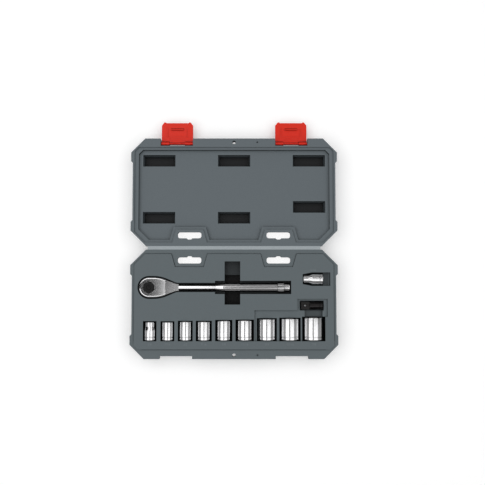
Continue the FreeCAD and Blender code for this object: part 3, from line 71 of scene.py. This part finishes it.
SLATE = linear(86, 95, 98)
SLATE_LID = linear(91, 99, 104)
SLATE_PALE = linear(99, 107, 111)
# Painted shade: the near black that fills the deep pockets of the case.
PAINTED_POCKET_SHADE = linear(4, 5, 7)
# Painted shade: the dark lines on the walls of the steps inside the rim.
PAINTED_STEP_SHADE = linear(10, 12, 14)
WEB = linear(146, 154, 158)
WEB_PALE = linear(164, 171, 175)
RED = linear(214, 30, 6)
RED_PALE = linear(222, 40, 12)
# Painted shade: the dark red on the latch walls and the sides of the ribs.
PAINTED_RED_SHADE = linear(104, 6, 4)
CHROME = linear(224, 224, 225)
STEEL = linear(170, 170, 172)
BLACK = linear(8, 8, 8)
BLACK_PALE = linear(16, 16, 16)
OXIDE = linear(48, 47, 47)
PRINT = linear(112, 120, 124)
print("colours ready")

# %% [markdown]
# ## Shared effects as node groups
# Four effects are used by more than one material, so each is a node group with named sockets:
# a moulded grain, a turned or brushed streak, the painted shade inside a pocket and the painted shade on
# the walls of a step or latch.
# The groups only work out colours, masks and normals. The surface shader stays in each material.

# %% Node group helpers
def new_group(name, inputs, outputs):
    """A shader node group with named sockets, and its two end nodes."""
    group = bpy.data.node_groups.new(name, "ShaderNodeTree")
    for socket, kind in inputs:
        group.interface.new_socket(socket, in_out="INPUT", socket_type=kind)
    for socket, kind in outputs:
        group.interface.new_socket(socket, in_out="OUTPUT", socket_type=kind)
    return group, group.nodes.new("NodeGroupInput"), group.nodes.new("NodeGroupOutput")


def math_node(tree, operation, first, second):
    """A maths node; each operand is a number or a socket to join."""
    node = tree.nodes.new("ShaderNodeMath")
    node.operation = operation
    for socket, operand in zip(node.inputs, (first, second)):
        if isinstance(operand, (int, float)):
            socket.default_value = operand
        else:
            tree.links.new(operand, socket)
    return node.outputs[0]


GRAIN_DETAIL = 4.0
GRAIN_HEIGHT = 0.0002


def grain_group():
    """A fine moulded grain: a tint to mix with and a bumped normal."""
    kinds = [("Scale", "NodeSocketFloat"), ("Strength", "NodeSocketFloat")]
    results = [("Tint", "NodeSocketFloat"), ("Normal", "NodeSocketVector")]
    group, start, end = new_group("moulded_grain", kinds, results)
    place = group.nodes.new("ShaderNodeTexCoord")
    noise = group.nodes.new("ShaderNodeTexNoise")
    noise.inputs["Detail"].default_value = GRAIN_DETAIL
    bump = group.nodes.new("ShaderNodeBump")
    bump.inputs["Distance"].default_value = GRAIN_HEIGHT
    group.links.new(place.outputs["Object"], noise.inputs["Vector"])
    group.links.new(start.outputs["Scale"], noise.inputs["Scale"])
    group.links.new(noise.outputs["Fac"], bump.inputs["Height"])
    group.links.new(start.outputs["Strength"], bump.inputs["Strength"])
    group.links.new(noise.outputs["Fac"], end.inputs["Tint"])
    group.links.new(bump.outputs["Normal"], end.inputs["Normal"])
    return group


def streak_group():
    """Fine streaks along one axis, as on plated or brushed steel."""
    kinds = [("Stretch", "NodeSocketVector"), ("Low", "NodeSocketFloat"), ("High", "NodeSocketFloat")]
    group, start, end = new_group("metal_streaks", kinds, [("Roughness", "NodeSocketFloat")])
    place = group.nodes.new("ShaderNodeTexCoord")
    scale = group.nodes.new("ShaderNodeVectorMath")
    scale.operation = "MULTIPLY"
    noise = group.nodes.new("ShaderNodeTexNoise")
    noise.inputs["Scale"].default_value = 1.0
    spread = group.nodes.new("ShaderNodeMapRange")
    group.links.new(place.outputs["Object"], scale.inputs[0])
    group.links.new(start.outputs["Stretch"], scale.inputs[1])
    group.links.new(scale.outputs["Vector"], noise.inputs["Vector"])
    group.links.new(noise.outputs["Fac"], spread.inputs["Value"])
    group.links.new(start.outputs["Low"], spread.inputs["To Min"])
    group.links.new(start.outputs["High"], spread.inputs["To Max"])
    group.links.new(spread.outputs["Result"], end.inputs["Roughness"])
    return group


def split(tree, vector):
    """The three parts of a vector socket."""
    node = tree.nodes.new("ShaderNodeSeparateXYZ")
    tree.links.new(vector, node.inputs["Vector"])
    return node.outputs


def within(tree, value, middle, half):
    """1 where a value lies within half of its middle."""
    apart = math_node(tree, "ABSOLUTE", math_node(tree, "SUBTRACT", value, middle), 0.0)
    return math_node(tree, "LESS_THAN", apart, half)


def clamped(tree, value):
    """A value held between 0 and 1."""
    clamp = tree.nodes.new("ShaderNodeClamp")
    tree.links.new(value, clamp.inputs["Value"])
    return clamp.outputs["Result"]


FACES_DOWN = -0.5


def pocket_shade_group():
    """Painted shade down inside the pockets, by how deep a point lies in the case: 0 on the deck, 1 well
    down in a pocket.
    """
    kinds = [(n, "NodeSocketFloat") for n in ("Top", "Depth", "Half Width", "Middle", "Half Length")]
    group, start, end = new_group("pocket_depth", kinds, [("Mask", "NodeSocketFloat")])
    place = group.nodes.new("ShaderNodeTexCoord")
    point = split(group, place.outputs["Object"])
    facing = split(group, place.outputs["Normal"])
    down = math_node(group, "SUBTRACT", start.outputs["Top"], point["Z"])
    depth = math_node(group, "DIVIDE", down, start.outputs["Depth"])
    inside_x = within(group, point["X"], 0.0, start.outputs["Half Width"])
    inside_y = within(group, point["Y"], start.outputs["Middle"], start.outputs["Half Length"])
    upward = math_node(group, "GREATER_THAN", facing["Z"], FACES_DOWN)
    inside = math_node(group, "MULTIPLY", math_node(group, "MULTIPLY", inside_x, inside_y), upward)
    group.links.new(clamped(group, math_node(group, "MULTIPLY", depth, inside)), end.inputs["Mask"])
    return group


LEVEL = 0.99
TILT_GAIN = 3.5


def wall_shade_group():
    """Where painted shade falls on the walls of the steps inside the rim: 0 on level faces, 1 on walls,
    and 0 at the cut corners.
    """
    names = ("Top", "Depth", "Half Width", "Middle", "Half Length", "Corner")
    kinds = [(n, "NodeSocketFloat") for n in names]
    group, start, end = new_group("step_edges", kinds, [("Mask", "NodeSocketFloat")])
    place = group.nodes.new("ShaderNodeTexCoord")
    point = split(group, place.outputs["Object"])
    facing = split(group, place.outputs["Normal"])
    down = math_node(group, "SUBTRACT", start.outputs["Top"], point["Z"])
    along = math_node(group, "SUBTRACT", point["Y"], start.outputs["Middle"])
    reach_x = math_node(group, "ABSOLUTE", point["X"], 0.0)
    reach_y = math_node(group, "ABSOLUTE", along, 0.0)
    limits = [
        math_node(group, "LESS_THAN", down, start.outputs["Depth"]),
        math_node(group, "LESS_THAN", reach_x, start.outputs["Half Width"]),
        math_node(group, "LESS_THAN", reach_y, start.outputs["Half Length"]),
        math_node(group, "LESS_THAN", math_node(group, "ADD", reach_x, reach_y), start.outputs["Corner"]),
    ]
    level = math_node(group, "ABSOLUTE", facing["Z"], 0.0)
    tilt = math_node(group, "MULTIPLY", math_node(group, "SUBTRACT", LEVEL, level), TILT_GAIN)
    mask = clamped(group, tilt)
    for limit in limits:
        mask = math_node(group, "MULTIPLY", mask, limit)
    group.links.new(mask, end.inputs["Mask"])
    return group


GRAIN = grain_group()
STREAKS = streak_group()
POCKET_SHADE_GROUP = pocket_shade_group()
WALL_SHADE_GROUP = wall_shade_group()
print("node groups:", len(bpy.data.node_groups))

# %% [markdown]
# ## Materials
# Each material is one surface shader fed by the groups: grainy plastic for the case, glossier red
# plastic for the latches, bright plating for the tools and a dull black for the dial and adapter.

# %% Material builders
SHEEN = 0.25
GRAIN_STRENGTH = 0.35
CASE_FINISH = {"roughness": 0.55, "grain": 900.0}
LATCH_FINISH = {"roughness": 0.36, "grain": 500.0}
WEB_FINISH = {"roughness": 0.5, "grain": 600.0}
DIAL_FINISH = {"roughness": 0.6, "grain": 700.0}
ALONG_X = (40.0, 900.0, 900.0)
ALONG_Y = (900.0, 40.0, 900.0)
EVEN = (300.0, 300.0, 300.0)
PRINT_ROUGHNESS = 0.6
SOCKET_GLOSS = (0.08, 0.16)
RATCHET_GLOSS = (0.07, 0.15)
STEEL_GLOSS = (0.25, 0.4)
OXIDE_GLOSS = (0.14, 0.3)


def new_material(name, color, metallic, roughness):
    """A material with its surface shader set."""
    material = bpy.data.materials.new(name)
    material.use_nodes = True
    shader = material.node_tree.nodes["Principled BSDF"]
    shader.inputs["Base Color"].default_value = color
    shader.inputs["Metallic"].default_value = metallic
    shader.inputs["Roughness"].default_value = roughness
    shader.inputs["Specular IOR Level"].default_value = SHEEN
    material.diffuse_color = color
    return material, material.node_tree, shader


def add_group(tree, group, **values):
    """A node that uses a group, with its sockets set."""
    node = tree.nodes.new("ShaderNodeGroup")
    node.node_tree = group
    for socket, number in values.items():
        node.inputs[socket.replace("_", " ")].default_value = number
    return node


def mix_colors(tree, factor, first, second):
    """A colour mix; each colour is a value or a socket."""
    mix = tree.nodes.new("ShaderNodeMix")
    mix.data_type = "RGBA"
    tree.links.new(factor, mix.inputs["Factor"])
    for socket, color in ((mix.inputs[6], first), (mix.inputs[7], second)):
        if isinstance(color, tuple):
            socket.default_value = color
        else:
            tree.links.new(color, socket)
    return mix.outputs[2]


def plastic(name, dark, pale, roughness, grain):
    """Grained plastic between two close colours."""
    material, tree, shader = new_material(name, dark, 0.0, roughness)
    texture = add_group(tree, GRAIN, Scale=grain, Strength=GRAIN_STRENGTH)
    tree.links.new(mix_colors(tree, texture.outputs["Tint"], dark, pale), shader.inputs["Base Color"])
    tree.links.new(texture.outputs["Normal"], shader.inputs["Normal"])
    return material, tree, shader


POCKET_SHADE_REACH = {"Depth": 0.012, "Half_Width": 0.1272, "Half_Length": 0.0585}
STEP_SHADE_REACH = {"Depth": 0.0095, "Half_Width": 0.1345, "Half_Length": 0.065, "Corner": 0.187}
STEP_SHADE_SHIFT = 0.0035
EVERYWHERE = {"Depth": 1.0, "Half_Width": 1.0, "Half_Length": 1.0, "Corner": 2.0}


def case_plastic(name, dark, pale, pocket_shade_top, step_shade_top, middle, towards_hinge):
    """Case plastic with painted shade on the walls of its steps and down inside the pockets."""
    material, tree, shader = plastic(name, dark, pale, **CASE_FINISH)
    tint = shader.inputs["Base Color"].links[0].from_socket
    # Painted shade: the step walls and the pocket floors mix toward near black.
    deep = add_group(tree, POCKET_SHADE_GROUP, Top=pocket_shade_top, Middle=middle, **POCKET_SHADE_REACH)
    step_shade_middle = middle + towards_hinge * STEP_SHADE_SHIFT
    edges = add_group(tree, WALL_SHADE_GROUP, Top=step_shade_top, Middle=step_shade_middle, **STEP_SHADE_REACH)
    step_shaded = mix_colors(tree, edges.outputs["Mask"], tint, PAINTED_STEP_SHADE)
    tree.links.new(mix_colors(tree, deep.outputs["Mask"], step_shaded, PAINTED_POCKET_SHADE), shader.inputs["Base Color"])
    return material


def latch_plastic(name, dark, pale):
    """Red plastic with painted shade on its walls, edges and ribs."""
    material, tree, shader = plastic(name, dark, pale, **LATCH_FINISH)
    tint = shader.inputs["Base Color"].links[0].from_socket
    edges = add_group(tree, WALL_SHADE_GROUP, **EVERYWHERE)
    tree.links.new(mix_colors(tree, edges.outputs["Mask"], tint, PAINTED_RED_SHADE), shader.inputs["Base Color"])
    return material


def metal(name, color, stretch, low, high):
    """Metal whose roughness runs in fine streaks."""
    material, tree, shader = new_material(name, color, 1.0, low)
    streaks = add_group(tree, STREAKS, Stretch=stretch, Low=low, High=high)
    tree.links.new(streaks.outputs["Roughness"], shader.inputs["Roughness"])
    return material


base_low, base_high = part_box("case_base")
lid_low, lid_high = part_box("case_lid")
RIM = lid_high[2]
DECK = base_high[2]
BASE_MIDDLE = (base_low[1] + base_high[1]) / 2
LID_MIDDLE = (lid_low[1] + lid_high[1]) / 2
RECESS_DEEP = 0.0034
PANEL_DEEP = 0.0078
MATERIALS = {
    "base": case_plastic("case_base_plastic", SLATE, SLATE_PALE, DECK - RECESS_DEEP, DECK, BASE_MIDDLE, 1),
    "lid": case_plastic("case_lid_plastic", SLATE_LID, SLATE_PALE, RIM - PANEL_DEEP, RIM, LID_MIDDLE, -1),
    "web": plastic("hinge_web", WEB, WEB_PALE, **WEB_FINISH)[0],
    "red": latch_plastic("latch_red", RED, RED_PALE),
    "chrome_y": metal("chrome_sockets", CHROME, ALONG_Y, *SOCKET_GLOSS),
    "chrome_x": metal("chrome_ratchet", CHROME, ALONG_X, *RATCHET_GLOSS),
    "steel": metal("bare_steel", STEEL, EVEN, *STEEL_GLOSS),
    "black": plastic("dial_black", BLACK, BLACK_PALE, **DIAL_FINISH)[0],
    "oxide": metal("black_oxide", OXIDE, ALONG_X, *OXIDE_GLOSS),
    "print": new_material("size_numerals", PRINT, 0.0, PRINT_ROUGHNESS)[0],
}
print("materials:", ", ".join(MATERIALS))

# %% [markdown]
# ## Dress the solids
# Round faces are shaded smooth and real corners stay sharp. A tiny bevel on the moulded corners catches
# the light, and flat faces keep their own normals where they meet a rounding.

# %% Dress the solids
SHARP = math.radians(32)
BEVELLED = math.radians(40)
BEVEL_STEPS = 2
FLATNESS = 90
BEVELS = {"case_base": 0.0009, "case_lid": 0.0009, "latch_left": 0.0006, "latch_right": 0.0006}
PAINT = {
    "case_base": "base",
    "case_lid": "lid",
    "living_hinge": "web",
    "latch_left": "red",
    "latch_right": "red",
    "latch_pin_left": "red",
    "latch_pin_right": "red",
    "ratchet_body": "chrome_x",
    "cover_plate": "chrome_x",
    "release_button": "oxide",
    "socket_5_16": "chrome_x",
    "reversing_dial": "black",
    "drive_adapter": "oxide",
}


def dress(name, node):
    """Smooth one solid, bevel its corners and give it its material."""
    mesh = node.data
    if "custom_normal" in mesh.attributes:
        mesh.attributes.remove(mesh.attributes["custom_normal"])
    mesh.polygons.foreach_set("use_smooth", [True] * len(mesh.polygons))
    mesh.set_sharp_from_angle(angle=SHARP)
    key = PAINT.get(name, "chrome_y" if name.startswith("socket") else "steel")
    mesh.materials.clear()
    mesh.materials.append(MATERIALS[key])
    if name in BEVELS:
        bevel = node.modifiers.new("soft_edges", "BEVEL")
        bevel.width = BEVELS[name]
        bevel.segments = BEVEL_STEPS
        bevel.limit_method = "ANGLE"
        bevel.angle_limit = BEVELLED
    flat = node.modifiers.new("flat_faces", "WEIGHTED_NORMAL")
    flat.mode = "FACE_AREA"
    flat.weight = FLATNESS
    flat.keep_sharp = True


for node_name, node in NODES.items():
    dress(node_name, node)
print("dressed", len(NODES), "solids")

# %% [markdown]
# ## The bending hinge
# The web between the halves bends when the lid folds. A finely divided strip stands for it.

# %% The bending hinge
def strip(name, low, high, steps):
    """A thin strip divided across its bend."""
    rows = [low[1] + (high[1] - low[1]) * n / steps for n in range(steps + 1)]
    points, faces = [], []
    for y in rows:
        points += [(low[0], y, low[2]), (high[0], y, low[2]), (high[0], y, high[2]), (low[0], y, high[2])]
    for n in range(steps):
        a, b = 4 * n, 4 * n + 4
        faces += [(a + k, a + (k + 1) % 4, b + (k + 1) % 4, b + k) for k in range(4)]
    faces += [(3, 2, 1, 0), tuple(4 * steps + k for k in range(4))]
    mesh = bpy.data.meshes.new(name)
    mesh.from_pydata(points, [], faces)
    made = bpy.data.objects.new(name, mesh)
    bpy.context.collection.objects.link(made)
    return made


web_low, web_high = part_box("living_hinge")
WEB_STEPS = 16
web = strip("hinge_strip", web_low, web_high, WEB_STEPS)
web.data.materials.append(MATERIALS["web"])
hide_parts("living_hinge")
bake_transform(web)
print("hinge strip faces:", len(web.data.polygons))

# %% [markdown]
# ## Small marks
# Each socket's size stands in faint raised figures on the deck: below the sockets of the row and above
# the tapered one. The latches carry raised grip bars on the side that faces up here.

# %% Small marks
NUMERAL_SIZE = 0.0042
NUMERAL_RISE = 0.00008
NUMERAL_STEPS = 3
BELOW_SOCKET = 0.0068
ABOVE_SOCKET = 0.0026


def numeral(text, x, y):
    """A size in raised figures on the deck, as a mesh."""
    curve = bpy.data.curves.new(f"size_{text}", "FONT")
    curve.body = text
    curve.size = NUMERAL_SIZE
    curve.extrude = NUMERAL_RISE
    curve.resolution_u = NUMERAL_STEPS
    curve.align_x = "CENTER"
    letters = bpy.data.objects.new(f"letters_{text}", curve)
    bpy.context.collection.objects.link(letters)
    bpy.context.view_layer.update()
    mesh = bpy.data.meshes.new_from_object(letters)
    bpy.data.objects.remove(letters)
    made = bpy.data.objects.new("numeral_" + text.replace("/", "_"), mesh)
    made.location = (x, y, DECK)
    bpy.context.collection.objects.link(made)
    mesh.materials.clear()
    mesh.materials.append(MATERIALS["print"])
    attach(made, "base")


socket_names = [name for name in NODES if name.startswith("socket_") and name != "socket_5_16"]
for name in socket_names:
    low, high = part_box(name)
    size_text = name.replace("socket_", "").replace("_", "/")
    numeral(size_text, (low[0] + high[0]) / 2, low[1] - BELOW_SOCKET)
low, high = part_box("socket_5_16")
numeral("5/16", (low[0] + high[0]) / 2, high[1] + ABOVE_SOCKET)


LATCH_PLATE = 0.0024
GRIP_FROM_PIN = 0.0095
GRIP_STEP = 0.0024
GRIP_BAR = (0.022, 0.0008, 0.0007)
GRIP_BARS = 3


def grip_bar(name, centre, latch):
    """A low bar on a latch, half sunk in its plate."""
    bpy.ops.mesh.primitive_cube_add(size=1, location=centre)
    made = bpy.context.object
    made.name = name
    made.scale = GRIP_BAR
    made.data.materials.append(MATERIALS["red"])
    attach(made, latch)


for side in ("left", "right"):
    low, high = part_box(f"latch_{side}")
    middle = (low[0] + high[0]) / 2
    for number in range(GRIP_BARS):
        y = low[1] + GRIP_FROM_PIN + GRIP_STEP * number
        grip_bar(f"grip_{side}_{number}", (middle, y, low[2] + LATCH_PLATE), f"latch_{side}")
print("numerals:", len(socket_names) + 1)

# %% [markdown]
# ## Camera
# The photograph was taken from almost straight above, leaning about four degrees towards the front, so
# the lid looks slightly narrower than the base. One picture element covers 1.35 millimetres.

# %% Camera
PIXELS = 485
MM_PER_PIXEL = 1.35
AIM = Vector((0.0115, 0.0829, RIM))
LEAN = math.radians(3.6)
FAR = 1.0
SENSOR = 36.0
OVERSAMPLE = 2
MM_PER_METRE = 1000
camera_data = bpy.data.cameras.new("photo_camera")
camera = bpy.data.objects.new("photo_camera", camera_data)
bpy.context.collection.objects.link(camera)
camera.location = AIM + Vector((0, -math.sin(LEAN), math.cos(LEAN))) * FAR
camera.rotation_euler = (LEAN, 0, 0)
camera_data.sensor_width = SENSOR
camera_data.lens = SENSOR * FAR / (PIXELS * MM_PER_PIXEL / MM_PER_METRE)
bpy.context.scene.camera = camera
bpy.context.scene.render.resolution_x = OVERSAMPLE * PIXELS
bpy.context.scene.render.resolution_y = OVERSAMPLE * PIXELS
print("camera at", [round(c, 3) for c in camera.location])

# %% [markdown]
# ## Floor, light and reflections
# A white floor and two large soft lights give the clean ground and the faint shadow. A sheet under the
# hang slots glows brightly for the camera: painted light that lifts the shade there, so the slots look
# white from above. A dark card fills the gap between the lights and shows as a thin dark line along each
# socket.
# More cards darken the edges of the plated tools. Only reflections see the cards.

# %% Floor and light
WEB_MIDDLE = (web_low[1] + web_high[1]) / 2
PAPER = (0.85, 0.85, 0.85, 1.0)
WHITE = (1.0, 1.0, 1.0, 1.0)
CARD_BLACK = (0.01, 0.01, 0.01, 1.0)
PAPER_ROUGHNESS = 0.9


def white_sheet(name, size, z, glow):
    """A sheet of white ground that looks brighter to the camera than its light makes it."""
    bpy.ops.mesh.primitive_plane_add(size=1, location=(0, WEB_MIDDLE, z))
    sheet = bpy.context.object
    sheet.name = name
    sheet.scale = (size[0], size[1], 1)
    material, tree, shader = new_material(name + "_white", PAPER, 0.0, PAPER_ROUGHNESS)
    shader.inputs["Emission Color"].default_value = WHITE
    paths = tree.nodes.new("ShaderNodeLightPath")
    strength = math_node(tree, "MULTIPLY", paths.outputs["Is Camera Ray"], glow)
    tree.links.new(strength, shader.inputs["Emission Strength"])
    sheet.data.materials.append(material)


SHEETS = [
    ("floor", (12.0, 12.0), -0.0002, 0.25),
    # Painted light: this sheet glows for the camera where the case shades the floor under the hang slots.
    ("slot_backing", (0.17, 0.06), -0.0001, 0.82),
]
for sheet_name, sheet_size, sheet_z, sheet_glow in SHEETS:
    white_sheet(sheet_name, sheet_size, sheet_z, sheet_glow)

LIGHT_SIZE = (1.3, 1.9)
LIGHTS = {"left_light": ((-0.72, 0.15, 1.3), 11.0), "right_light": ((0.80, 0.15, 1.3), 8.5)}


def soft_light(name, place, power):
    """A large area light that faces straight down."""
    data = bpy.data.lights.new(name, "AREA")
    data.shape = "RECTANGLE"
    data.size, data.size_y = LIGHT_SIZE
    data.energy = power
    light = bpy.data.objects.new(name, data)
    light.location = place
    bpy.context.collection.objects.link(light)


for light_name, (light_place, light_power) in LIGHTS.items():
    soft_light(light_name, light_place, light_power)

CARDS = {
    "card_top": ((0.04, 0.15, 1.28), (0.16, 1.9)),
    "card_left": ((-0.75, 0.1, 0.62), (0.3, 2.2)),
    "card_right": ((0.75, 0.1, 0.5), (0.3, 2.2)),
    "card_front": ((0.0, -0.85, 0.55), (2.2, 0.3)),
    "card_back": ((0.0, 1.05, 0.6), (2.2, 0.3)),
}
MATERIALS["card"] = new_material("card_black", CARD_BLACK, 0.0, 1.0)[0]
SKY = 0.4


def dark_card(name, place, size):
    """A black card that only reflections see."""
    bpy.ops.mesh.primitive_plane_add(size=1, location=place)
    card = bpy.context.object
    card.name = name
    card.scale = (size[0], size[1], 1)
    card.rotation_euler = (AIM - Vector(place)).to_track_quat("Z", "Y").to_euler()
    card.data.materials.append(MATERIALS["card"])
    card.visible_camera = False
    card.visible_diffuse = False
    card.visible_shadow = False


for card_name, (card_place, card_size) in CARDS.items():
    dark_card(card_name, card_place, card_size)

world = bpy.data.worlds.new("studio")
bpy.context.scene.world = world
world.use_nodes = True
world.node_tree.nodes["Background"].inputs["Color"].default_value = WHITE
world.node_tree.nodes["Background"].inputs["Strength"].default_value = SKY
bpy.context.scene.view_settings.view_transform = "Standard"
bpy.context.scene.render.engine = "CYCLES"
print("lights:", len(bpy.data.lights))

# %% [markdown]
# ## End
# The dressed set must stay as large as the solid model.

# %% End
print("scene ready")
